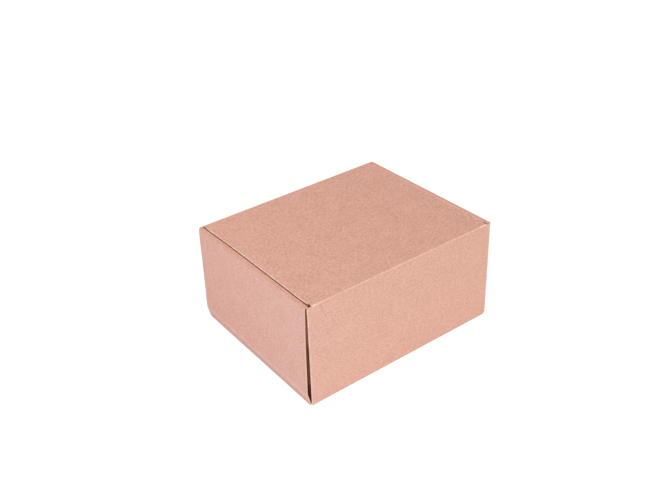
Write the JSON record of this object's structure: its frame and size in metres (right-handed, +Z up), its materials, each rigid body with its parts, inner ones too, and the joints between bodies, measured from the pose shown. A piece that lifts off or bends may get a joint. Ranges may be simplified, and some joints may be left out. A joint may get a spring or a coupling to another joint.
{
  "type": "folding mailing box",
  "caption": "Closed cardboard mailing box folded from one sheet, with doubled side walls, locking tabs and a hinged tuck lid.",
  "frame": {"origin": "centre of the box's outline, on the underside of its floor", "axes": "+X across the box along its longer side, +Y from the front wall to the rear wall with the lid's crease, +Z up"},
  "size_m": [0.2516, 0.198, 0.12],
  "materials": {
    "tray_board": "matt",
    "lid_board": "matt"
  },
  "bodies": {
    "tray": {"tray": "tray_board"},
    "lid": {"lid": "lid_board"}
  },
  "joints": [
    {"name": "lid_hinge", "type": "hinge", "parent": "tray", "child": "lid", "pos_m": [0, 0.09847, 0.11947], "axis": [-1, 0, 0], "range_deg": [0, 175]}
  ]
}
